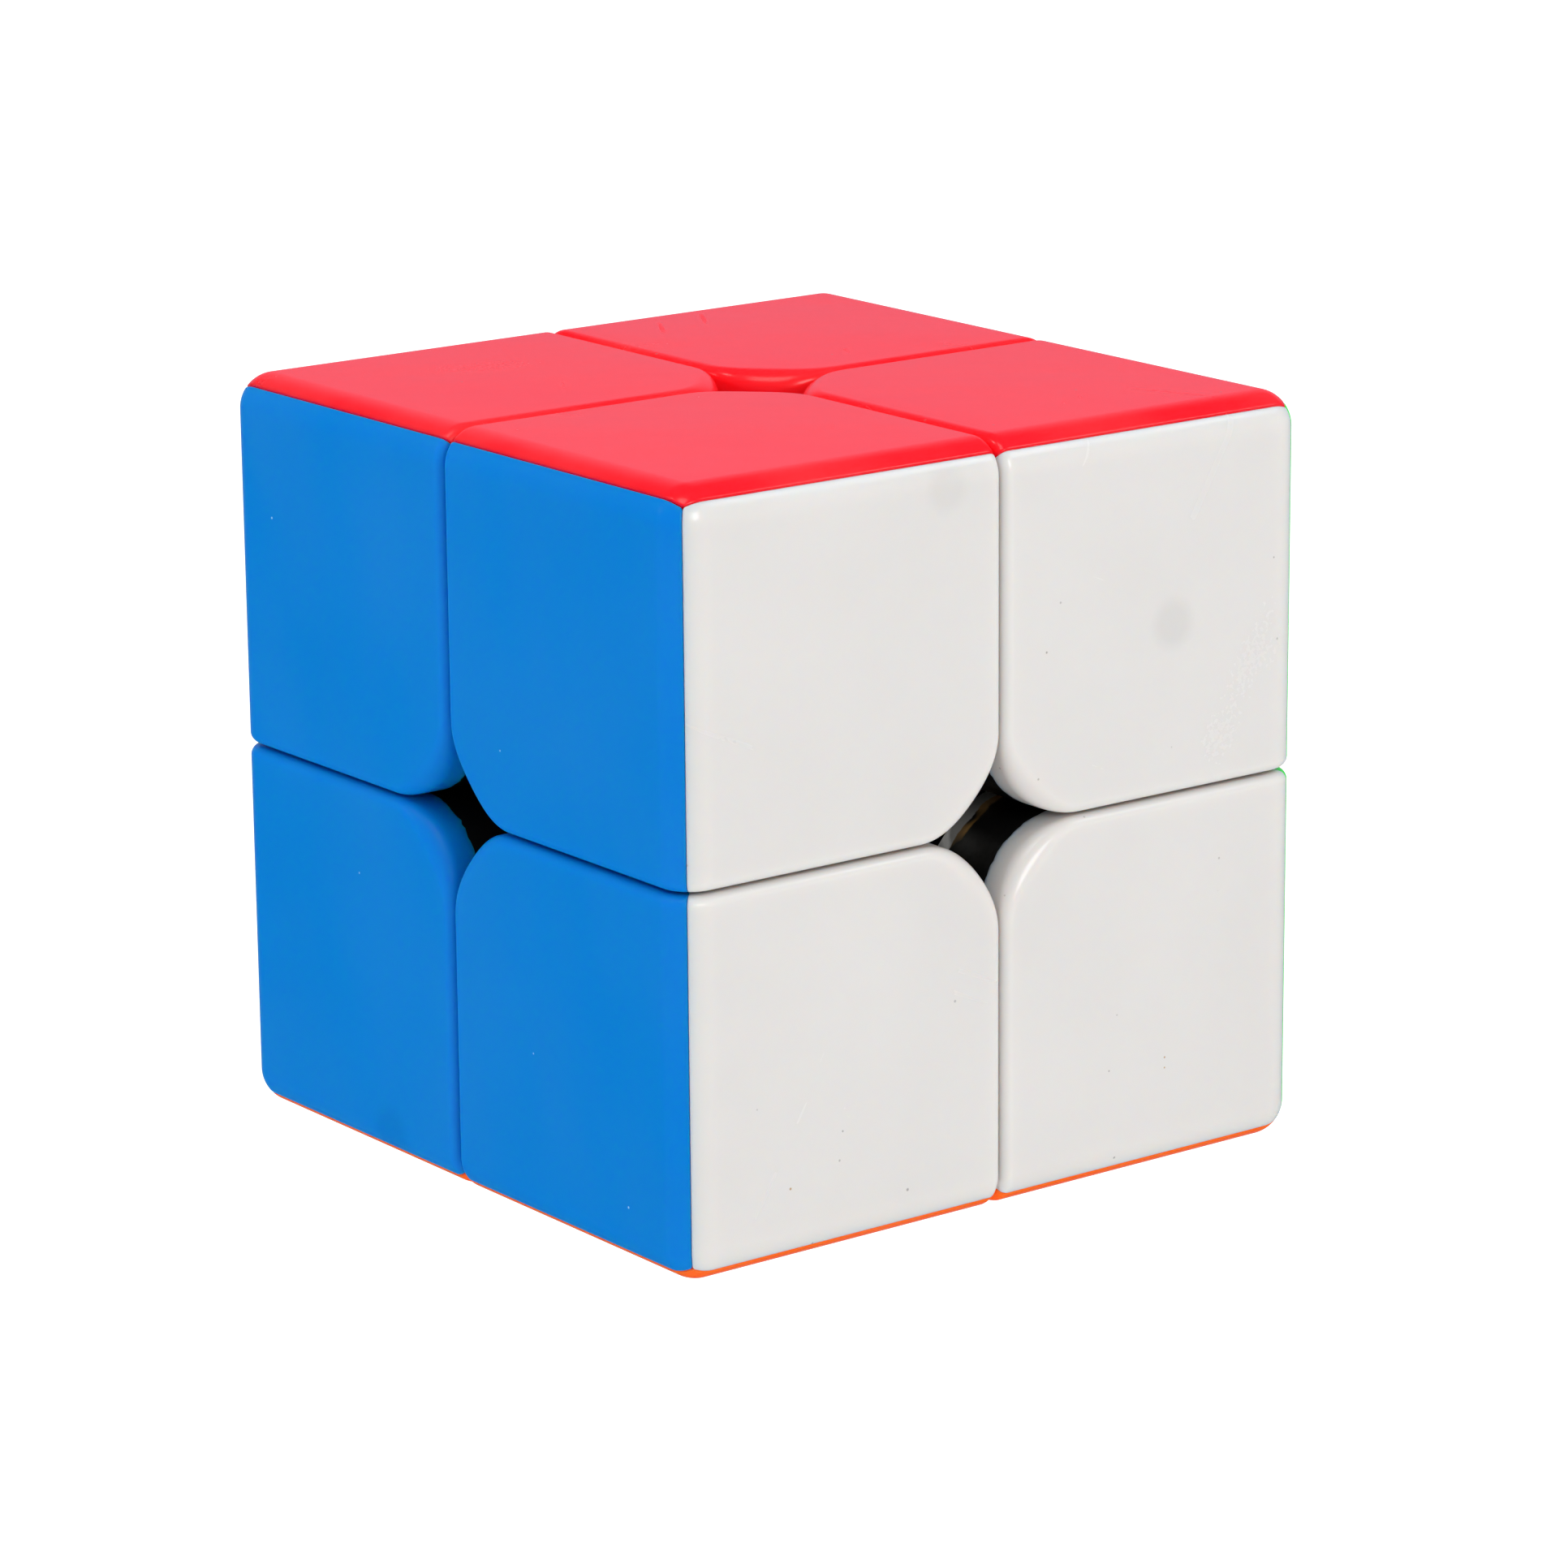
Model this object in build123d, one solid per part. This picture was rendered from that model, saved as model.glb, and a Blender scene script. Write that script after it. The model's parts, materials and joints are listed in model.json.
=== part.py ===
from build123d import *

import os

# A two-layer twisty puzzle cube. Eight corner pieces surround a hidden ball of twelve edge
# pieces and six centre pieces, and the centre pieces are screwed to a six-armed core.
# Millimetres. The origin is the middle of the cube, where the three turning axes meet.
# +X is the right side, -Y is the front and +Z is the top.

# Corner pieces
cube_size = 50.0  # from one outer face to the opposite one
layer_gap = 0.2  # between the flat sides of two corner pieces that slide past each other
hole_round = 6.3  # rounding of a corner piece's long inner edges, which leaves the face holes
edge_round = 2.4  # rounding of the cube's outer edges and corners
gap_round = 0.7  # rounding of the edges along the gaps and around the face holes
wall = 2.0  # moulded wall of the caps and of the corner bodies
cap_rim = 0.6  # how far a cap's rim reaches in beyond its wall
seam_gap = 0.08  # width of the dark line between two caps
seam_shift = 0.25  # how much smaller the front and back caps are than their neighbours

# Hidden ball, from the outside in: heads, then feet that hook under the heads
ball_radius = 17.0  # outside of the heads
head_thickness = 3.6
foot_thickness = 3.6
head_share = 0.52  # half width of a centre piece's head, over the radius of its underside
foot_share = 0.66  # half width of a centre piece's hub, over that of its head
clearance = 0.1  # from each sliding face to the middle of its gap
ball_gap = 0.15  # between the ball and the hollow of the corner pieces

# Centre pieces
dish_radius = 4.4  # round dish in the head
dish_depth = 2.4
hub_floor = 1.3  # plastic between the spring's well and the core
well_play = 0.4  # around the washer in the well
screw_play = 0.08  # around the screw in the bores of the centre piece and the washer

# Core, screws, washers and springs
core_radius = 5.5
arm_radius = 2.9
arm_play = 0.6  # between the end of an arm and the centre piece over it
screw_radius = 1.2
screw_engagement = 5.0  # length of the screw inside the arm
screw_head_radius = 2.5
screw_head_height = 1.3
screw_slot_width = 0.6
screw_slot_depth = 0.6
screw_slot_length = 3.0
washer_lip = 0.2  # how far the washer stands out around the spring
washer_thickness = 0.4
spring_outer_radius = 2.4
spring_height = 3.8  # fitted length
spring_wire = 0.5  # wire diameter
spring_turns = 3.5
anchor_share = 0.94  # width of the peg that fixes one corner piece, over the room for it
anchor_depth = 3.0  # how far the peg goes into the corner piece
anchor_socket = 2.0  # how far the peg goes into the core

half = cube_size / 2
side = layer_gap / 2
cap_depth = wall + cap_rim
hollow_radius = ball_radius + ball_gap
shoulder_radius = ball_radius - head_thickness
hub_bottom = shoulder_radius - foot_thickness + clearance
head_half = shoulder_radius * head_share
foot_half = head_half * foot_share
anchor_room = (hub_bottom / 3**0.5 - foot_half + clearance) * 1.5**0.5
anchor_radius = anchor_room * anchor_share
dish_floor = ball_radius - dish_depth
well_floor = hub_bottom + hub_floor
washer_radius = spring_outer_radius + washer_lip
well_radius = washer_radius + well_play
arm_end = hub_bottom - arm_play
washer_bottom = well_floor + spring_height
washer_top = washer_bottom + washer_thickness
screw_top = washer_top + screw_head_height

# Name, axis number (0 is X, 1 is Y, 2 is Z), direction and colour of each side of the cube
SIDES = [
    ("left", 0, -1, "blue"),
    ("right", 0, 1, "green"),
    ("front", 1, -1, "white"),
    ("back", 1, 1, "yellow"),
    ("lower", 2, -1, "orange"),
    ("upper", 2, 1, "red"),
]
MIRRORS = [Plane.YZ, Plane.XZ, Plane.XY]
DIRECTIONS = [Vector(1, 0, 0), Vector(0, 1, 0), Vector(0, 0, 1)]
STANDING = (Align.CENTER, Align.CENTER, Align.MIN)
SEAM_INSET = [0.0, seam_shift, 0.0]  # by axis: the Y caps give up this much to the others


def placed(solid, sides):
    """The piece made for the +X +Y +Z corner, mirrored to the sides it belongs to."""
    for _, axis, direction, _ in sides:
        if direction < 0:
            solid = solid.mirror(MIRRORS[axis])
    return solid


def turned(solid, axis):
    """A piece that was made along +Z, turned to point along another axis."""
    if axis == 0:
        return Rot(0, 90, 0) * solid
    if axis == 1:
        return Rot(-90, 0, 0) * solid
    return solid


def spanned_box(spans):
    """A box from its lowest and highest value along X, Y and Z."""
    sizes = [high - low for low, high in spans]
    middle = [(high + low) / 2 for low, high in spans]
    return Pos(*middle) * Box(*sizes)


def kept_below(solid, direction, distance):
    """What is left of a solid on the near side of a plane across a direction."""
    plane = Plane(origin=direction * distance, z_dir=direction)
    return split(solid, bisect_by=plane, keep=Keep.BOTTOM)


def edges_on(solid, value):
    """The three edges of a cube where two of its planes at a value meet."""
    return [
        edge
        for edge in solid.edges()
        if sum(abs(place - value) < 1e-6 for place in tuple(edge.center())) == 2
    ]


def rounded_block(low, high, radius):
    """A cube in the +X +Y +Z corner with its three edges nearest the middle rounded."""
    block = spanned_box([(low, high)] * 3)
    return fillet(edges_on(block, low), radius)


def corner_outside():
    """The outside of a corner piece, before it is hollowed and split into caps."""
    block = rounded_block(side, half, hole_round)
    block = fillet(edges_on(block, half), edge_round)
    inner_faces = [
        face
        for face in block.faces()
        if any(abs(value - side) < 1e-6 for value in tuple(face.center()))
        or abs((face.radius or 0.0) - hole_round) < 1e-6
    ]
    edges = [edge for face in inner_faces for edge in face.edges()]
    rim = [edge for edge in edges if sum(edge.is_same(other) for other in edges) == 1]
    return fillet(rim, gap_round)


def corner_shell():
    """The hollow wall of a whole corner piece, caps and body together."""
    cavity = rounded_block(side + wall, half - wall, hole_round - wall)
    cavity -= Sphere(hollow_radius + wall)
    return corner_outside() - cavity - Sphere(hollow_radius)


def corner_cap(shell, axis):
    """The coloured cap on one side of a corner piece, mitred against the other two."""
    outward = DIRECTIONS[axis]
    cap = kept_below(shell, outward * -1, -(half - cap_depth))
    for other in range(3):
        if other != axis:
            across = DIRECTIONS[other] - outward
            shift = SEAM_INSET[other] - SEAM_INSET[axis]
            cap = kept_below(cap, across.normalized(), (shift / 2**0.5) - seam_gap / 2)
    return cap


def ball_zone(outer_axes, halves, inside, outside):
    """A block of the hollow ball. Along an outer axis the block lies beyond the half width,
    and along any other axis it lies between the two half widths."""
    spans = []
    for outer, half_width in zip(outer_axes, halves):
        if outer:
            spans.append((half_width + clearance, cube_size))
        else:
            spans.append((clearance - half_width, half_width - clearance))
    return (Sphere(outside) - Sphere(inside)) & spanned_box(spans)


def ball_piece(outer_axes, outside):
    """A head, a foot that hooks under the neighbouring heads, and the neck that joins them."""
    neck_halves = [head_half if outer else foot_half for outer in outer_axes]
    head = ball_zone(outer_axes, [head_half] * 3, shoulder_radius + clearance, outside)
    foot = ball_zone(outer_axes, [foot_half] * 3, hub_bottom, shoulder_radius - clearance)
    neck = ball_zone(outer_axes, neck_halves, hub_bottom, outside)
    return head + foot + neck


def corner_body(shell):
    """The black inner body of a corner piece, with the stalk and foot that hold it."""
    body = shell
    for outward in DIRECTIONS:
        body = kept_below(body, outward, half - cap_depth)
    return body + ball_piece((True, True, True), hollow_radius + wall / 2)


def centre_piece():
    """The centre piece of the top: square head, hub, dish, spring well and bore."""
    piece = ball_piece((False, False, True), ball_radius)
    dish = Pos(0, 0, dish_floor) * Cylinder(dish_radius, ball_radius, align=STANDING)
    well = Pos(0, 0, well_floor) * Cylinder(well_radius, ball_radius, align=STANDING)
    bore = Cylinder(screw_radius + screw_play, ball_radius, align=STANDING)
    return piece - dish - well - bore


def centre_screw():
    """Self-tapping screw with a cross in its head, along +Z."""
    shank_bottom = arm_end - screw_engagement
    shank = Cylinder(screw_radius, washer_top - shank_bottom, align=STANDING)
    head = Cylinder(screw_head_radius, screw_head_height, align=STANDING)
    head = fillet(head.edges().sort_by(Axis.Z)[-1:], screw_head_height / 2)
    slot = Box(screw_slot_length, screw_slot_width, 2 * screw_slot_depth)
    screw = Pos(0, 0, shank_bottom) * shank + Pos(0, 0, washer_top) * head
    return screw - Pos(0, 0, screw_top) * (slot + Rot(0, 0, 90) * slot)


def centre_washer():
    """Washer between the screw's head and the spring."""
    ring = Cylinder(washer_radius, washer_thickness, align=STANDING)
    ring -= Cylinder(screw_radius + screw_play, washer_thickness, align=STANDING)
    return Pos(0, 0, washer_bottom) * ring


def centre_spring():
    """Compression spring in the centre piece's well."""
    rise = spring_height - spring_wire - 2 * clearance
    coil = Helix(rise / spring_turns, rise, spring_outer_radius - spring_wire / 2)
    wire = sweep(Plane(origin=coil @ 0, z_dir=coil % 0) * Circle(spring_wire / 2), path=coil)
    return Pos(0, 0, well_floor + clearance + spring_wire / 2) * wire


def six_armed_core():
    """Ball with six bored arms, and a socket for the anchor peg."""
    core = Sphere(core_radius)
    for _, axis, direction, _ in SIDES:
        arm = turned(Cylinder(arm_radius, arm_end, align=STANDING), axis)
        core += arm if direction > 0 else arm.mirror(MIRRORS[axis])
    for _, axis, direction, _ in SIDES:
        depth = Cylinder(screw_radius, screw_engagement, align=STANDING)
        bore = turned(Pos(0, 0, arm_end - screw_engagement) * depth, axis)
        core -= bore if direction > 0 else bore.mirror(MIRRORS[axis])
    return core - anchor_peg()


def anchor_peg():
    """Peg from the core to the foot of the lower back left corner piece."""
    diagonal = Vector(-1, 1, -1).normalized()
    start = core_radius - anchor_socket
    length = hub_bottom + anchor_depth - start
    plane = Plane(origin=diagonal * start, z_dir=diagonal)
    return plane * Cylinder(anchor_radius, length, align=STANDING)


def six_of(piece):
    """The same piece along all six arms, as separate solids."""
    copies = []
    for _, axis, direction, _ in SIDES:
        copy = turned(piece, axis)
        copies.append(copy if direction > 0 else copy.mirror(MIRRORS[axis]))
    return Compound(children=[solid for copy in copies for solid in copy.solids()])


def write(solid, name):
    export_step(solid, f"parts/{name}.step")


def sides_of(axis):
    return [entry for entry in SIDES if entry[1] == axis]


def make_corners():
    shell = corner_shell()
    caps = [corner_cap(shell, axis) for axis in range(3)]
    body = corner_body(shell)
    for z_side in sides_of(2):
        for y_side in sides_of(1):
            for x_side in sides_of(0):
                corner = (x_side, y_side, z_side)
                place = f"{z_side[0]}_{y_side[0]}_{x_side[0]}"
                for axis in range(3):
                    write(placed(caps[axis], corner), f"{corner[axis][3]}_cap_{place}")
                placed_body = placed(body, corner)
                if place == "lower_back_left":
                    placed_body -= anchor_peg()
                write(placed_body, f"corner_body_{place}")


def make_edges():
    for along in range(3):
        others = [axis for axis in (2, 1, 0) if axis != along]
        outer_axes = [axis != along for axis in range(3)]
        edge = ball_piece(outer_axes, ball_radius)
        for first in sides_of(others[0]):
            for second in sides_of(others[1]):
                write(placed(edge, (first, second)), f"hidden_edge_{first[0]}_{second[0]}")


def make_centres():
    centre = centre_piece()
    for entry in SIDES:
        name, axis = entry[0], entry[1]
        write(placed(turned(centre, axis), (entry,)), f"centre_{name}")


def make_hardware():
    write(six_armed_core(), "core")
    write(anchor_peg(), "anchor_peg")
    write(six_of(centre_screw()), "centre_screws")
    write(six_of(centre_washer()), "centre_washers")
    write(six_of(centre_spring()), "centre_springs")


os.makedirs("parts", exist_ok=True)
make_corners()
make_edges()
make_centres()
make_hardware()
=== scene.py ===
import json
import math

import bmesh
import bpy
from mathutils import Matrix, Vector, noise


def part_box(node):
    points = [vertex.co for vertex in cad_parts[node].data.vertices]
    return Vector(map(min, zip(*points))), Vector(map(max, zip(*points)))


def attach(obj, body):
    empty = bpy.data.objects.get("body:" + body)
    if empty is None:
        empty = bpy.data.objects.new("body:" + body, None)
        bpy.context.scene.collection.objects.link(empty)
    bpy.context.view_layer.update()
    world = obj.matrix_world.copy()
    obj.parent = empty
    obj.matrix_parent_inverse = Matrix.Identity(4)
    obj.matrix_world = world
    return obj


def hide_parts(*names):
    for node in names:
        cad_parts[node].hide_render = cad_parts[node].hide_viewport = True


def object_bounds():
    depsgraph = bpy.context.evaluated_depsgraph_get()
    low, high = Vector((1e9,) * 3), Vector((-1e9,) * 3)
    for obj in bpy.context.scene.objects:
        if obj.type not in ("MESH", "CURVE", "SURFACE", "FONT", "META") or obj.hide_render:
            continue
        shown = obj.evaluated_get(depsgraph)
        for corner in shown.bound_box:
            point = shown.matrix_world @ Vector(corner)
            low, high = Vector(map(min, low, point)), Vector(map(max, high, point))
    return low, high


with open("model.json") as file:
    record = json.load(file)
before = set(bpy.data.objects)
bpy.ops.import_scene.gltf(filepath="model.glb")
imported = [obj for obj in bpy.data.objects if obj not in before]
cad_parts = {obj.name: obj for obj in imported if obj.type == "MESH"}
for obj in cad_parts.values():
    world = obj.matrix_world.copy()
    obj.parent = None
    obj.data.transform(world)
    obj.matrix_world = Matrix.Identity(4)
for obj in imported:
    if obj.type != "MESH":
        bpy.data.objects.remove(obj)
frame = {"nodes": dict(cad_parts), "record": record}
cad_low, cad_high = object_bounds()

MM = 0.001
WHITE = (1.0, 1.0, 1.0)

# ---------------------------------------------------------------- sizes, from the frame
HALF = cad_high.x  # from the cube's middle to its sides
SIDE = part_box("red_cap_upper_back_right")[0].x  # from the cube's middle to a cap's inner sides
CAP_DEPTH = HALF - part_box("red_cap_upper_back_right")[0].z

# ---------------------------------------------------------------- sizes of the caps' edges
HOLE_ROUND = 6.3 * MM  # rounding of a corner piece's long inner edges
EDGE_ROUND = 2.4 * MM  # rounding of the cube's outer edges and corners
GAP_ROUND = 0.7 * MM  # rounding of the edges along the gaps
RIM_ROUND = 1.4 * MM  # the same, at the middle of a face hole's rim
SEAM_GAPS = (0.08 * MM, 0.02 * MM)  # between the X and Z caps, and around the Y caps
SEAM_INSET = (0.10 * MM, 0.30 * MM, 0.0)  # by axis: how much the caps on it give up to their neighbours
LIP_ROUND = 0.14 * MM  # small rounding of a cap where it meets the next cap
FLASH_DEPTH = 0.30 * MM  # uneven lower edge of the coloured rim inside a face hole
FLASH_PROUD = 0.015 * MM  # how far that edge stands out
FLASH_EVEN = 0.35  # share of its depth that stays the same
FLASH_UNEVEN = 0.65  # share of its depth that comes and goes
FLASH_LENGTH = 0.5 * MM  # over which it comes and goes
WELD_DISTANCE = 0.002 * MM
SHARP_ANGLE = math.radians(35.0)

# ---------------------------------------------------------------- steps in a cap's mesh
EDGE_RINGS = 20  # from the flat face out over a rounding
LIP_RINGS = 4  # over a lip
SIDE_STEPS = 6  # along a straight side
FAN_STEPS = 16  # around an outer corner, and around each end of an outer edge
HOLE_STEPS = 30  # along a face hole's rim
SLOPE_STEP = 0.01  # share of a path that its slope is measured over
HALVINGS = 40  # in the search for the place where a path meets a seam

# Direction and colour of each side of the cube
SIDES = {
    "left": (-1, "blue"),
    "right": (1, "green"),
    "front": (-1, "white"),
    "back": (1, "yellow"),
    "lower": (-1, "orange"),
    "upper": (1, "red"),
}


def body_of_node(node):
    """Name of the body that a CAD node belongs to."""
    for body, nodes in frame["record"]["behaviour"]["bodies"].items():
        if node in nodes:
            return body
    raise KeyError(node)


# ---------------------------------------------------------------- node helpers
class Nodes:
    """The node tree of a material or a world, with short calls for the nodes used here."""

    def __init__(self, owner, output, coordinates):
        self.owner = owner
        owner.use_nodes = True
        self.tree = owner.node_tree
        self.tree.nodes.clear()
        self.output = self.add(output)
        self.position = self.add("ShaderNodeTexCoord").outputs[coordinates]

    def add(self, kind, **settings):
        node = self.tree.nodes.new(kind)
        for key, value in settings.items():
            setattr(node, key, value)
        return node

    def link(self, source, target):
        self.tree.links.new(source, target)

    def noise(self, scale, detail, stretch=None):
        """Noise over the object's own place, in features per millimetre."""
        node = self.add("ShaderNodeTexNoise")
        node.inputs["Scale"].default_value = scale / MM
        node.inputs["Detail"].default_value = detail
        self.link(self.stretched(stretch), node.inputs["Vector"])
        return node.outputs["Fac"]

    def stretched(self, stretch):
        """The place to look a pattern up at, so that the pattern is turned and drawn out."""
        if stretch is None:
            return self.position
        turn, lengths = stretch
        mapping = self.add("ShaderNodeMapping", vector_type="TEXTURE")
        mapping.inputs["Rotation"].default_value = turn
        mapping.inputs["Scale"].default_value = lengths
        self.link(self.position, mapping.inputs["Vector"])
        return mapping.outputs["Vector"]

    def spots(self, scale, radius, chance):
        """1 inside small round spots, 0 elsewhere. Only some cells of the pattern hold a spot."""
        cell = self.add("ShaderNodeTexVoronoi", feature="F1")
        cell.inputs["Scale"].default_value = scale / MM
        self.link(self.position, cell.inputs["Vector"])
        near = self.ramp(cell.outputs["Distance"], radius * SPOT_CORE, radius, 1.0, 0.0)
        split = self.add("ShaderNodeSeparateColor")
        self.link(cell.outputs["Color"], split.inputs["Color"])
        picked = self.math("LESS_THAN", split.outputs["Red"], chance)
        return self.math("MULTIPLY", near, picked)

    def near(self, axis, place, inner, outer):
        """1 within the inner distance (mm) of a place on a side across the axis, 0 beyond the outer."""
        flatten = self.add("ShaderNodeVectorMath", operation="MULTIPLY")
        self.link(self.position, flatten.inputs[0])
        flatten.inputs[1].default_value = [0.0 if k == axis else 1.0 for k in range(3)]
        away = self.add("ShaderNodeVectorMath", operation="DISTANCE")
        self.link(flatten.outputs["Vector"], away.inputs[0])
        point = [value * MM for value in place]
        point.insert(axis, 0.0)
        away.inputs[1].default_value = point
        return self.ramp(away.outputs["Value"], inner * MM, outer * MM, 1.0, 0.0)

    def ramp(self, value, low, high, from_value, to_value, smooth=False):
        """Maps a range of one value to a range of another, clamped."""
        node = self.add("ShaderNodeMapRange", interpolation_type="SMOOTHSTEP" if smooth else "LINEAR")
        node.inputs["From Min"].default_value = low
        node.inputs["From Max"].default_value = high
        node.inputs["To Min"].default_value = from_value
        node.inputs["To Max"].default_value = to_value
        self.link(value, node.inputs["Value"])
        return node.outputs["Result"]

    def math(self, operation, first, second):
        """An operation on two values, each a socket or a number."""
        node = self.add("ShaderNodeMath", operation=operation)
        for socket, value in zip(node.inputs, (first, second)):
            if isinstance(value, (int, float)):
                socket.default_value = value
            else:
                self.link(value, socket)
        return node.outputs["Value"]

    def mix(self, factor, first, second):
        """Mixes two colours, each a socket or three numbers."""
        node = self.add("ShaderNodeMix", data_type="RGBA")
        self.link(factor, node.inputs["Factor"])
        for socket, value in ((node.inputs[6], first), (node.inputs[7], second)):
            if isinstance(value, tuple):
                socket.default_value = (*value, 1.0)
            else:
                self.link(value, socket)
        return node.outputs[2]

    def bump(self, height, distance, below=None):
        """Relief of a depth, on top of the relief below it."""
        node = self.add("ShaderNodeBump")
        node.inputs["Distance"].default_value = distance
        self.link(height, node.inputs["Height"])
        if below is not None:
            self.link(below, node.inputs["Normal"])
        return node.outputs["Normal"]


def shade(colour, amount):
    """A colour made lighter (over 1) or darker (under 1)."""
    return tuple(min(1.0, channel * amount) for channel in colour)


def toward(colour, other, amount):
    """A colour part of the way to another."""
    return tuple(a + (b - a) * amount for a, b in zip(colour, other))


def material_nodes(name):
    return Nodes(bpy.data.materials.new(name), "ShaderNodeOutputMaterial", "Object")


# ---------------------------------------------------------------- coloured plastic
# Patterns are in features per millimetre. A stretch is the pattern's turn about each axis, and how far
# it is drawn out along it. An edge is the range of a value over which it goes from none to full.
SPOT_CORE = 0.6  # share of a spot's radius that is full
CLOUD_PATTERN = 0.09
CLOUD_EDGE = (0.30, 0.70)
CLOUD_SHADES = (0.985, 1.015)
# Smears vary the roughness, and are also painted whiter as a painted sheen.
SMEAR_PATTERN = 0.16
SMEAR_STRETCH = ((0.4, 0.3, 0.9), (1.0, 2.5, 2.5))
SMEAR_EDGE = (0.35, 0.75)
SMEAR_SHEEN_STRENGTH = 0.5
SMEAR_PAINTED_SHEEN = 0.06  # how much whiter a smear is painted, as painted sheen, for each unit of gloss
POST_EDGE = (0.60, 1.15)  # of its radius
POST_SHADE = 0.86
DUST_PATTERN = 0.45
DUST_RADIUS = 0.05  # of a cell of the pattern
DUST_CHANCE = 0.30
DUST_STRENGTH = 0.45
DUST = (0.16, 0.15, 0.14)
SPECK_CORE = 0.5  # share of a speck's radius that is full
SCRATCHES = (
    (1.2, ((0.7, 0.5, 0.4), (1.0, 30.0, 30.0))),
    (1.5, ((2.1, 1.1, 2.6), (1.0, 30.0, 30.0))),
)
SCRATCH_EDGE = (0.735, 0.755)
SCRATCH_ROUGH = 0.15
SCRATCH_DEPTH = 0.0018 * MM
PATCH_PATTERN = 0.12  # the scratches come in patches
PATCH_EDGE = (0.5, 0.62)
FINE_PATTERN = 3.0
FINE_DEPTH = 0.0010 * MM
ROUGH_SHARES = (0.6, 0.4)  # of the smears and of the fine pattern
ROUGH_EDGE = (0.1, 0.9)
ROUGH_SPAN = (-0.05, 0.06)  # added to the roughness, from least to most
WAVE_PATTERN = 0.14
WAVE_DEPTH = 0.025 * MM
PLASTIC_IOR = 1.5
GLOW_SHARE = 0.85  # of the light that goes into the plastic and comes out beside
GLOW_SCALE = 1.0 * MM


def plastic_colour(n, colour, gloss, smear_and_sheen, axis, posts, specks):
    """A colour with soft clouding, smears painted whiter as a painted sheen, the shadows of posts, dust and
    specks.
    """
    cloud = n.ramp(n.noise(CLOUD_PATTERN, detail=3.0), *CLOUD_EDGE, 0.0, 1.0)
    base = n.mix(cloud, *[shade(colour, amount) for amount in CLOUD_SHADES])
    # Smears are painted whiter: a painted sheen that grows with the gloss.
    painted_sheen_colour = toward(colour, WHITE, SMEAR_PAINTED_SHEEN * gloss)
    base = n.mix(n.math("MULTIPLY", smear_and_sheen, SMEAR_SHEEN_STRENGTH), base, painted_sheen_colour)
    for place, radius, strength in posts:
        near = n.near(axis, place, *[radius * edge for edge in POST_EDGE])
        base = n.mix(n.math("MULTIPLY", near, strength), base, shade(colour, POST_SHADE))
    dust = n.spots(DUST_PATTERN, DUST_RADIUS, DUST_CHANCE)
    base = n.mix(n.math("MULTIPLY", dust, DUST_STRENGTH), base, DUST)
    for place, radius, speck in specks:
        base = n.mix(n.near(axis, place, radius * SPECK_CORE, radius), base, speck)
    return base


def hairline_scratches(n):
    """1 on two sets of long scratches, 0 elsewhere."""
    sets = []
    for pattern, stretch in SCRATCHES:
        sets.append(n.ramp(n.noise(pattern, detail=1.0, stretch=stretch), *SCRATCH_EDGE, 0.0, 1.0))
    patch = n.ramp(n.noise(PATCH_PATTERN, detail=1.0), *PATCH_EDGE, 0.0, 1.0)
    return n.math("MULTIPLY", n.math("MAXIMUM", *sets), patch)


def plastic_roughness(n, rough, smear_and_sheen, fine, scratches):
    shares = [n.math("MULTIPLY", value, share) for value, share in zip((smear_and_sheen, fine), ROUGH_SHARES)]
    low, high = [rough + change for change in ROUGH_SPAN]
    roughness = n.ramp(n.math("ADD", *shares), *ROUGH_EDGE, low, high)
    return n.math("ADD", roughness, n.math("MULTIPLY", scratches, SCRATCH_ROUGH))


def plastic_relief(n, fine, scratches):
    """A slow wave, a fine texture on it, and the scratches cut into both."""
    wave = n.bump(n.noise(WAVE_PATTERN, detail=1.5), WAVE_DEPTH)
    texture = n.bump(fine, FINE_DEPTH, below=wave)
    return n.bump(n.math("MULTIPLY", scratches, -1.0), SCRATCH_DEPTH, below=texture)


def moulded_plastic(name, colour, glow, axis, posts=(), specks=(), rough=0.23, gloss=0.46):
    """Coloured gloss plastic. A post is a round shadow where the inside of the cap is thicker. Posts
    and specks lie at places (mm) on the sides across the axis. The glow is how far each of red, green
    and blue light travels in the plastic."""
    n = material_nodes(name)
    shader = n.add("ShaderNodeBsdfPrincipled")
    smear_and_sheen = n.ramp(n.noise(SMEAR_PATTERN, detail=2.0, stretch=SMEAR_STRETCH), *SMEAR_EDGE, 0.0, 1.0)
    fine = n.noise(FINE_PATTERN, detail=2.0)
    scratches = hairline_scratches(n)
    n.link(plastic_colour(n, colour, gloss, smear_and_sheen, axis, posts, specks), shader.inputs["Base Color"])
    n.link(plastic_roughness(n, rough, smear_and_sheen, fine, scratches), shader.inputs["Roughness"])
    n.link(plastic_relief(n, fine, scratches), shader.inputs["Normal"])
    shader.inputs["Specular IOR Level"].default_value = gloss
    shader.inputs["IOR"].default_value = PLASTIC_IOR
    shader.inputs["Subsurface Weight"].default_value = GLOW_SHARE
    shader.inputs["Subsurface Radius"].default_value = glow
    shader.inputs["Subsurface Scale"].default_value = GLOW_SCALE
    n.link(shader.outputs["BSDF"], n.output.inputs["Surface"])
    return n.owner


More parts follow.
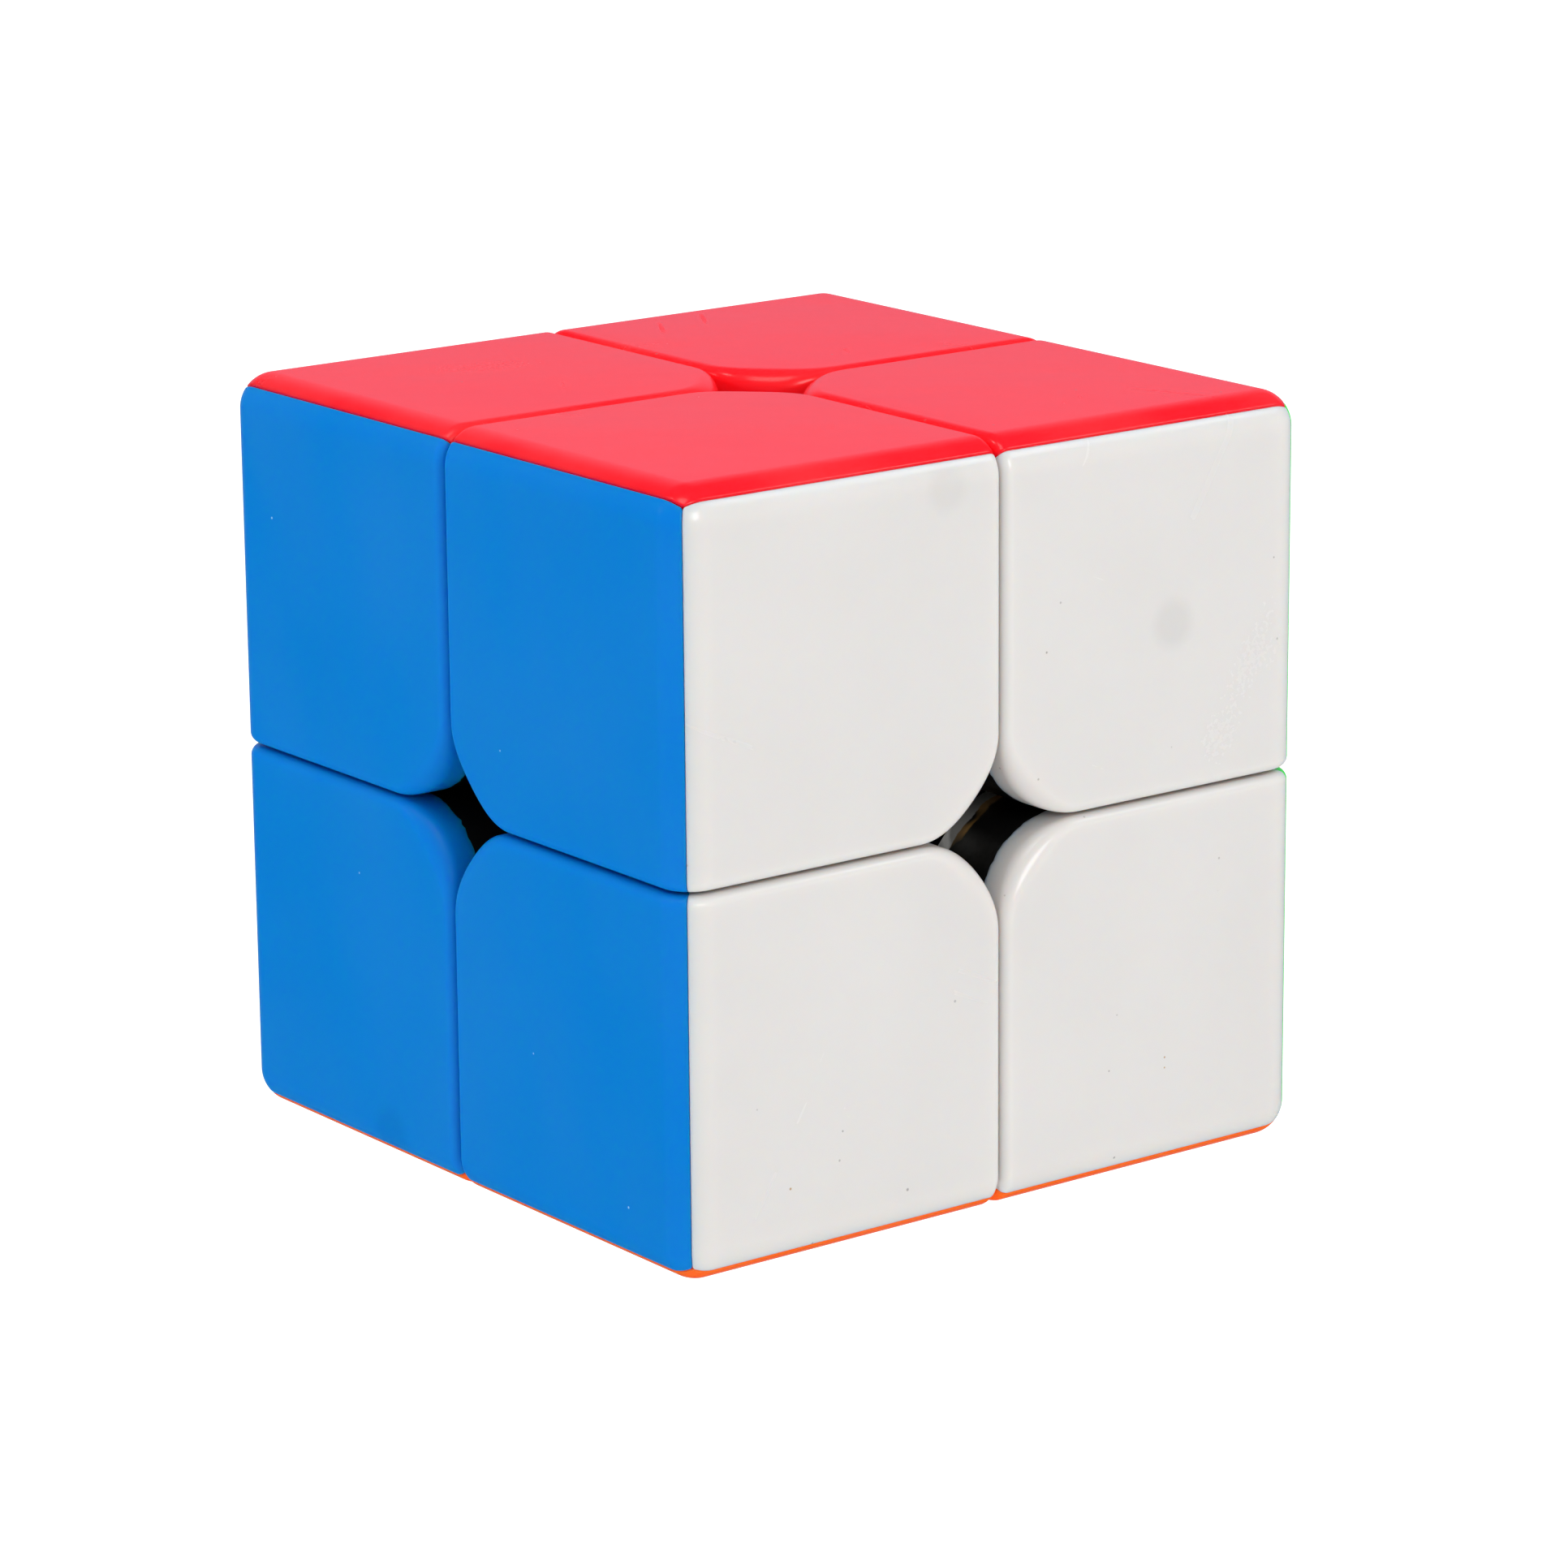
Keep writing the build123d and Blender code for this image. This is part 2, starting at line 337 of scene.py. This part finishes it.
# ---------------------------------------------------------------- dark plastic, and a painted sheen of grease
WEAR_PATTERN = 0.35
WEAR_STRETCH = ((0.2, 0.9, 0.1), (1.0, 3.0, 3.0))
WEAR_EDGE = (0.35, 0.7)
WEAR_SHADE = 1.7
WEAR_ROUGH = (0.12, -0.08)  # added to the roughness, from unworn to worn
INNER_GLOSS = 0.25
INNER_GRAIN = (3.0, 0.010 * MM)  # pattern and depth
INNER_WAVE = (0.4, 0.03 * MM)
SHEEN_WANDER = (0.6, 1.0 * MM)  # pattern and width of the painted sheen's uneven border
SHEEN_EDGE = (-0.10, 0.0)  # mm, from the painted sheen's border outward
GLEAM_EDGE = (0.45, 0.65)  # mm, from the painted sheen's border outward, for the painted amber gleam
GLEAM_PATTERN = 0.30
GLEAM_BREAKS = (0.48, 0.54)
# Pale streaks in the sheen are painted glints.
GLINT_PATTERN = 1.6
GLINT_STRETCH = ((0.5, 0.8, 0.2), (1.0, 9.0, 9.0))
GLINT_EDGE = (0.60, 0.66)
# Painted amber gleam, grey painted reflection of the sheen, and pale painted glints.
PAINTED_AMBER_GLEAM = (0.30, 0.17, 0.05)
PAINTED_SHEEN_GREY = (0.34, 0.34, 0.33)
PAINTED_GLINT = (0.80, 0.80, 0.78)


def paint_grease_sheen(n, base, sheen_reach):
    """Grease whose sheen is painted: a grey painted reflection within a distance (mm) of the middle of the
    cube, with painted pale glints in it and a broken edge of painted amber gleam."""
    away = n.add("ShaderNodeVectorMath", operation="LENGTH")
    n.link(n.position, away.inputs[0])
    pattern, width = SHEEN_WANDER
    wander = n.math("MULTIPLY", n.math("SUBTRACT", n.noise(pattern, detail=3.0), 0.5), width)
    radius = n.math("ADD", away.outputs["Value"], wander)
    # Painted glints: narrow pale streaks.
    glint = n.ramp(n.noise(GLINT_PATTERN, detail=2.0, stretch=GLINT_STRETCH), *GLINT_EDGE, 0.0, 1.0)
    broken = n.ramp(n.noise(GLEAM_PATTERN, detail=1.0), *GLEAM_BREAKS, 0.0, 1.0)
    # Painted amber gleam along the sheen's broken edge.
    gleam = n.ramp(radius, *[(sheen_reach + edge) * MM for edge in GLEAM_EDGE], 1.0, 0.0)
    base = n.mix(n.math("MULTIPLY", gleam, broken), base, PAINTED_AMBER_GLEAM)
    # Grey painted reflection of a greasy sheen, with the painted glints in it.
    sheen = n.ramp(radius, *[(sheen_reach + edge) * MM for edge in SHEEN_EDGE], 1.0, 0.0)
    return n.mix(sheen, base, n.mix(glint, PAINTED_SHEEN_GREY, PAINTED_GLINT))


def inner_plastic(name, colour, rough, sheen_reach=None):
    """Dark moulded plastic with fine wear, and a painted grease sheen with painted glints where its reach is
    given.
    """
    n = material_nodes(name)
    shader = n.add("ShaderNodeBsdfPrincipled")
    wear = n.ramp(n.noise(WEAR_PATTERN, detail=4.0, stretch=WEAR_STRETCH), *WEAR_EDGE, 0.0, 1.0)
    base = n.mix(wear, colour, shade(colour, WEAR_SHADE))
    if sheen_reach is not None:
        base = paint_grease_sheen(n, base, sheen_reach)
    n.link(base, shader.inputs["Base Color"])
    unworn, worn = [rough + change for change in WEAR_ROUGH]
    n.link(n.ramp(wear, 0.0, 1.0, unworn, worn), shader.inputs["Roughness"])
    shader.inputs["Specular IOR Level"].default_value = INNER_GLOSS
    grain = n.bump(n.noise(INNER_GRAIN[0], detail=4.0), INNER_GRAIN[1])
    n.link(n.bump(n.noise(INNER_WAVE[0], detail=2.0), INNER_WAVE[1], below=grain), shader.inputs["Normal"])
    n.link(shader.outputs["BSDF"], n.output.inputs["Surface"])
    return n.owner


# ---------------------------------------------------------------- steel
MARK_PATTERN = 4.0
MARK_STRETCH = ((0.3, 0.2, 0.1), (1.0, 6.0, 6.0))
MARK_SHADES = (0.85, 1.1)
MARK_EDGE = (0.3, 0.7)
MARK_ROUGH = 0.15
MARK_DEPTH = 0.01 * MM


def plated_steel(name, colour, rough):
    """Plated screw and spring steel, with fine turning marks."""
    n = material_nodes(name)
    shader = n.add("ShaderNodeBsdfPrincipled")
    shader.inputs["Metallic"].default_value = 1.0
    marks = n.noise(MARK_PATTERN, detail=3.0, stretch=MARK_STRETCH)
    n.link(n.mix(marks, *[shade(colour, amount) for amount in MARK_SHADES]), shader.inputs["Base Color"])
    n.link(n.ramp(marks, *MARK_EDGE, rough, rough + MARK_ROUGH), shader.inputs["Roughness"])
    n.link(n.bump(marks, MARK_DEPTH), shader.inputs["Normal"])
    n.link(shader.outputs["BSDF"], n.output.inputs["Surface"])
    return n.owner


# ---------------------------------------------------------------- the materials
GREY_SPECK = (0.33, 0.32, 0.31)
BROWN_SPECK = (0.42, 0.30, 0.18)
PALE_SPECK = (0.30, 0.50, 0.75)
PLASTIC = {
    "red": moulded_plastic("red_gloss", (0.94, 0.007, 0.017), glow=(1.6, 0.15, 0.15), axis=2),
    "blue": moulded_plastic(
        "blue_gloss", (0.0002, 0.183, 0.558), glow=(0.05, 0.25, 1.6), axis=0, rough=0.34, gloss=0.12,
        posts=[((7.6, -23.1), 2.0, 0.55)],
        specks=[((19.8, 16.0), 0.10, PALE_SPECK), ((-9.0, -13.5), 0.08, PALE_SPECK),
                ((-6.0, 5.5), 0.08, PALE_SPECK), ((10.5, -6.0), 0.09, PALE_SPECK),
                ((-19.0, -21.0), 0.10, PALE_SPECK)]),
    "white": moulded_plastic(
        "white_gloss", (0.605, 0.592, 0.580), glow=(2.2, 1.4, 0.9), axis=1,
        posts=[((13.8, 11.3), 1.7, 0.50), ((-4.5, 22.5), 1.6, 0.35)],
        specks=[((-7.8, -21.9), 0.13, GREY_SPECK), ((-17.0, -19.9), 0.11, BROWN_SPECK),
                ((-15.0, -24.0), 0.10, GREY_SPECK), ((-12.9, -17.0), 0.09, GREY_SPECK),
                ((8.7, -17.4), 0.08, GREY_SPECK), ((13.4, -17.4), 0.09, BROWN_SPECK),
                ((13.4, -18.1), 0.08, BROWN_SPECK), ((9.3, -23.4), 0.11, GREY_SPECK),
                ((3.4, 11.0), 0.10, GREY_SPECK), ((22.3, 14.4), 0.08, GREY_SPECK)]),
    "green": moulded_plastic(
        "green_gloss", (0.03, 0.68, 0.07), glow=(0.2, 1.0, 0.2), axis=0, posts=[((9.5, 14.0), 1.7, 0.4)]),
    "orange": moulded_plastic(
        "orange_gloss", (0.95, 0.13, 0.012), glow=(1.0, 0.3, 0.1), axis=2, posts=[((-12.0, 8.5), 1.7, 0.4)]),
    "yellow": moulded_plastic(
        "yellow_gloss", (0.90, 0.66, 0.02), glow=(1.0, 0.8, 0.1), axis=1, posts=[((-11.0, 12.5), 1.7, 0.4)]),
}
# A painted grease sheen, with painted glints and a painted amber gleam, near the cube's middle.
BLACK = inner_plastic("black_body", (0.003, 0.003, 0.003), 0.42, sheen_reach=18.3)
MECHANISM = inner_plastic("black_mechanism", (0.014, 0.014, 0.015), 0.22)
CORE = inner_plastic("core_nylon", (0.03, 0.03, 0.032), 0.5)
STEEL = plated_steel("screw_plating", (0.66, 0.64, 0.60), 0.22)
SPRING = plated_steel("spring_wire", (0.70, 0.56, 0.34), 0.25)


# ---------------------------------------------------------------- the caps
def quarter(radius, part):
    """Outward distance and depth on a rounding, from 0 at the flat face to 1 at the side."""
    angle = part * math.pi / 2
    return radius * math.sin(angle), radius * (1 - math.cos(angle))


def side_column(x, y, turn, radius):
    """Path from a point of the flat face's border out over a rounding, in a plan direction."""
    direction = (math.cos(turn), math.sin(turn))

    def at(part):
        out, depth = quarter(radius, part)
        return Vector((x + direction[0] * out, y + direction[1] * out, depth))

    return at


def end_column(x, y, along, across, share):
    """Path over the place where the end of an outer rounding is itself rounded toward a gap. The
    outer rounding runs outward along one axis, the gap's lies along the other."""
    outer_part = min(1.0, share / 0.5)
    gap_part = min(1.0, (1.0 - share) / 0.5)

    def at(part):
        over = outer_part * part * math.pi / 2
        aside = gap_part * part * math.pi / 2
        reach = EDGE_ROUND - GAP_ROUND + GAP_ROUND * math.cos(aside)
        out, back = reach * math.sin(over), GAP_ROUND * math.sin(aside)
        depth = EDGE_ROUND - reach * math.cos(over)
        plan = [start + a * out + b * back for start, a, b in zip((x, y), along, across)]
        return Vector((*plan, depth))

    return at


def cap_columns():
    """Paths from the flat part of a cap's face outward, in order around it, in the plane of the
    cap's two other axes. Each comes with how much of it is a hole's wall (0 to 1)."""
    low = SIDE + GAP_ROUND
    high = HALF - EDGE_ROUND
    arc = SIDE + HOLE_ROUND
    columns = []

    def run(x0, y0, x1, y1, turn, radius):
        """Paths along a straight side, from one end up to the other, all in one direction."""
        for step in range(SIDE_STEPS):
            part = step / SIDE_STEPS
            start = (x0 + (x1 - x0) * part, y0 + (y1 - y0) * part)
            columns.append((side_column(*start, turn, radius), 0.0))

    for step in range(FAN_STEPS):
        columns.append((side_column(high, high, math.pi / 2 * step / FAN_STEPS, EDGE_ROUND), 0.0))
    run(high, high, low, high, math.pi / 2, EDGE_ROUND)
    for step in range(FAN_STEPS):
        columns.append((end_column(low, high, (0, 1), (-1, 0), 1 - step / FAN_STEPS), 0.0))
    run(low, high, low, arc, math.pi, GAP_ROUND)
    for step in range(HOLE_STEPS):
        part = step / HOLE_STEPS
        turn = math.pi * (1 + part / 2)
        rounding = GAP_ROUND + (RIM_ROUND - GAP_ROUND) * math.sin(math.pi * part) ** 2
        radius = HOLE_ROUND - rounding
        start = (arc + radius * math.cos(turn), arc + radius * math.sin(turn))
        columns.append((side_column(*start, turn, rounding), math.sin(math.pi * part)))
    run(arc, low, high, low, math.pi * 1.5, GAP_ROUND)
    for step in range(FAN_STEPS):
        columns.append((end_column(high, low, (1, 0), (0, -1), step / FAN_STEPS), 0.0))
    run(high, low, high, high, 0.0, EDGE_ROUND)
    return columns


def seam_part(at, shifts):
    """How far along a path the mitre planes of the two neighbouring caps cut it off."""

    def past(part):
        x, y, depth = at(part)
        return depth > HALF - x + shifts[0] or depth > HALF - y + shifts[1]

    if not past(1.0):
        return 1.0
    low, high = 0.0, 1.0
    for _ in range(HALVINGS):
        middle = (low + high) / 2
        if past(middle):
            high = middle
        else:
            low = middle
    return low


def cap_column(at, hole, shifts, seed):
    """Points down one path: over the rounding, over the lip, down the side and back inside. The seed
    makes the flash differ from cap to cap."""
    limits = [HALF - CAP_DEPTH + shift for shift in shifts]
    meet = seam_part(at, shifts)
    lip, flat = at(meet), at(0.0)
    slope = (at(meet) - at(meet - SLOPE_STEP)).length / SLOPE_STEP
    start = meet - LIP_ROUND / slope if meet < 1.0 else 1.0
    column = [at(start * ring / EDGE_RINGS) for ring in range(EDGE_RINGS + 1)]
    wander = noise.noise(Vector((lip.x, lip.y, seed)) / FLASH_LENGTH)
    flash = max(0.0, FLASH_DEPTH * hole * (FLASH_EVEN + FLASH_UNEVEN * wander))
    proud = FLASH_PROUD * hole if meet == 1.0 else 0.0
    outward = (lip - flat).normalized()
    plan = [min(lip[k] + outward[k] * proud, limits[k]) for k in range(2)]
    rim = Vector((*plan, CAP_DEPTH + flash))
    before = column[-1]
    after = lip + (rim - lip).normalized() * LIP_ROUND
    for ring in range(1, LIP_RINGS + 1):
        part = ring / LIP_RINGS
        column.append((1 - part) ** 2 * before + 2 * part * (1 - part) * lip + part**2 * after)
    column.append(rim)
    column.append(Vector((min(flat.x, limits[0]), min(flat.y, limits[1]), CAP_DEPTH)))
    return column


def cap_mesh(name, axis, signs):
    """The coloured cap of one side of a corner piece, closed, in the row frame."""
    others = [other for other in range(3) if other != axis]
    shifts = []
    for other in others:
        gap = SEAM_GAPS[1 if 1 in (axis, other) else 0]
        shifts.append(SEAM_INSET[other] - SEAM_INSET[axis] - gap / math.sqrt(2))
    seed = axis + 3.0 * signs[0]
    columns = [cap_column(at, hole, shifts, seed) for at, hole in cap_columns()]
    count = len(columns)
    rings = len(columns[0])
    vertices = []
    for ring in range(rings):
        for column in columns:
            point = [0.0, 0.0, 0.0]
            point[others[0]], point[others[1]] = column[ring].x, column[ring].y
            point[axis] = HALF - column[ring].z
            vertices.append([sign * value for sign, value in zip(signs, point)])
    faces = [list(range(count)), list(range((rings - 1) * count, rings * count))[::-1]]
    for ring in range(rings - 1):
        upper, lower = ring * count, (ring + 1) * count
        for k in range(count):
            after = (k + 1) % count
            faces.append([upper + k, lower + k, lower + after, upper + after])
    mesh = bpy.data.meshes.new(name)
    mesh.from_pydata(vertices, [], faces)
    mesh.validate()
    mesh.update()
    return mesh


def weld(piece, distance):
    """Joins the points that fall on each other where the seams meet."""
    edit = bmesh.new()
    edit.from_mesh(piece.data)
    bmesh.ops.remove_doubles(edit, verts=edit.verts, dist=distance)
    bmesh.ops.recalc_face_normals(edit, faces=edit.faces)
    edit.to_mesh(piece.data)
    edit.free()


def add_piece(name, mesh, material, body):
    """A visual piece that moves with a body."""
    piece = bpy.data.objects.new(name, mesh)
    bpy.context.scene.collection.objects.link(piece)
    piece.data.materials.append(material)
    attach(piece, body)
    return piece


def make_caps():
    """A skin in place of each cap node, whose name ends in its three sides, from Z to X."""
    for node in sorted(frame["nodes"]):
        if "_cap_" not in node:
            continue
        colour, place = node.split("_cap_")
        names = place.split("_")[::-1]
        signs = [SIDES[side][0] for side in names]
        axis = [SIDES[side][1] for side in names].index(colour)
        mesh = cap_mesh(f"{node}_skin", axis, signs)
        piece = add_piece(f"{node}_skin", mesh, PLASTIC[colour], body_of_node(node))
        weld(piece, WELD_DISTANCE)
        for polygon in piece.data.polygons:
            polygon.use_smooth = True
        piece.data.set_sharp_from_angle(angle=SHARP_ANGLE)
        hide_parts(node)


# ---------------------------------------------------------------- the CAD nodes that stay
def finish_nodes():
    """Materials for everything but the caps, which get skins of their own."""
    for node, piece in frame["nodes"].items():
        if node.startswith("corner_body"):
            material = BLACK
        elif node.startswith("hidden_edge") or node in {f"centre_{side}" for side in SIDES}:
            material = MECHANISM
        elif node in ("core", "anchor_peg"):
            material = CORE
        elif node == "centre_springs":
            material = SPRING
        elif node in ("centre_screws", "centre_washers"):
            material = STEEL
        else:
            continue
        for place in piece.material_slots:
            place.material = material


# ---------------------------------------------------------------- stage and light
FLOOR_REACH = 3.0
FLOOR_GREY = (0.15, 0.15, 0.15, 1.0)
FLOOR_GLOW = 1.15
SKY_LOW = 0.60
SKY_HIGH = 1.34
WALL_DIRECTION = (0.6, 0.8, 0.0)
WALL_EDGE = (0.60, 0.95)  # cosine of the angle from the wall's middle
CEILING_EDGE = (0.15, 0.45)  # sine of the height above the horizon
GLOSS_AROUND = (0.01, 0.01, 0.01)
GLOSS_ABOVE = (0.06, 0.06, 0.07)
GLOSS_WALL = (0.35, 0.32, 0.42)
LAMP_DISTANCE = 0.6
LAMPS = [  # name, direction, size and power
    ("lamp_front", (-0.12, -0.88, 0.38), 0.20, 0.85),
    ("lamp_right", (0.58, -0.52, 0.63), 0.14, 0.25),
    ("lamp_middle", (-0.36, -0.24, 0.90), 0.24, 0.45),
    ("lamp_left", (-0.55, 0.24, 0.80), 0.08, 0.15),
    ("lamp_window", (-0.74, 0.50, 0.43), 0.07, 0.10),
]


def make_floor():
    """A wide sheet of paper under the cube, which glows white and doesn't show in the gloss."""
    mesh = bpy.data.meshes.new("floor")
    corners = [(-1, -1), (1, -1), (1, 1), (-1, 1)]
    mesh.from_pydata([(x * FLOOR_REACH, y * FLOOR_REACH, cad_low.z) for x, y in corners], [], [(0, 1, 2, 3)])
    floor = bpy.data.objects.new("floor", mesh)
    bpy.context.scene.collection.objects.link(floor)
    n = material_nodes("floor_paper")
    paper = n.add("ShaderNodeBsdfDiffuse")
    paper.inputs["Color"].default_value = FLOOR_GREY
    glow = n.add("ShaderNodeEmission")
    glow.inputs["Strength"].default_value = FLOOR_GLOW
    both = n.add("ShaderNodeAddShader")
    n.link(paper.outputs["BSDF"], both.inputs[0])
    n.link(glow.outputs["Emission"], both.inputs[1])
    n.link(both.outputs["Shader"], n.output.inputs["Surface"])
    floor.data.materials.append(n.owner)
    n.owner.cycles.emission_sampling = "NONE"
    floor.visible_glossy = False


def make_world():
    """White to the camera, and a sky brighter above for light. What shows in the gloss is dark all
    round, apart from a faint ceiling and a pale wall behind the cube."""
    n = Nodes(bpy.data.worlds.new("studio"), "ShaderNodeOutputWorld", "Generated")
    toward_wall = n.add("ShaderNodeVectorMath", operation="DOT_PRODUCT")
    toward_wall.inputs[1].default_value = WALL_DIRECTION
    n.link(n.position, toward_wall.inputs[0])
    wall = n.ramp(toward_wall.outputs["Value"], *WALL_EDGE, 0.0, 1.0, smooth=True)
    parts = n.add("ShaderNodeSeparateXYZ")
    n.link(n.position, parts.inputs["Vector"])
    height = parts.outputs["Z"]
    ceiling = n.ramp(height, *CEILING_EDGE, 0.0, 1.0, smooth=True)
    gloss = n.mix(wall, n.mix(ceiling, GLOSS_AROUND, GLOSS_ABOVE), GLOSS_WALL)
    sky = n.ramp(height, 0.0, 1.0, SKY_LOW, SKY_HIGH)
    path = n.add("ShaderNodeLightPath")
    lit = n.mix(path.outputs["Is Glossy Ray"], sky, gloss)
    background = n.add("ShaderNodeBackground")
    n.link(n.mix(path.outputs["Is Camera Ray"], lit, WHITE), background.inputs["Color"])
    n.link(background.outputs["Background"], n.output.inputs["Surface"])
    n.owner.cycles.sampling_method = "NONE"
    bpy.context.scene.world = n.owner


def make_lamps():
    """Soft square lamps, all aimed at the cube's middle."""
    for name, direction, size, power in LAMPS:
        light = bpy.data.lights.new(name, "AREA")
        light.size = size
        light.energy = power
        lamp = bpy.data.objects.new(name, light)
        lamp.location = Vector(direction).normalized() * LAMP_DISTANCE
        lamp.rotation_euler = (-lamp.location).to_track_quat("-Z", "Y").to_euler()
        bpy.context.scene.collection.objects.link(lamp)


# ---------------------------------------------------------------- camera, fitted to the photograph
CAMERA_PLACE = Vector((-0.223763, -0.297767, 0.096545))
CAMERA_AIM = Vector((0.000776, -0.001217, -0.001927))
CAMERA_ROLL = math.radians(-0.50)
CAMERA_LENS = 134.3
CAMERA_SENSOR = 36.0
CAMERA_CLIP = (0.01, 20.0)


def make_camera():
    """The photograph's own view."""
    camera = bpy.data.cameras.new("camera")
    camera.lens = CAMERA_LENS
    camera.sensor_width = CAMERA_SENSOR
    camera.clip_start, camera.clip_end = CAMERA_CLIP
    holder = bpy.data.objects.new("camera", camera)
    aim = (CAMERA_AIM - CAMERA_PLACE).to_track_quat("-Z", "Y").to_matrix()
    turn = aim @ Matrix.Rotation(CAMERA_ROLL, 3, "Z")
    holder.matrix_world = Matrix.Translation(CAMERA_PLACE) @ turn.to_4x4()
    bpy.context.scene.collection.objects.link(holder)
    bpy.context.scene.camera = holder


bpy.context.scene.view_settings.view_transform = "Standard"
make_camera()
make_floor()
make_world()
make_lamps()
finish_nodes()
make_caps()
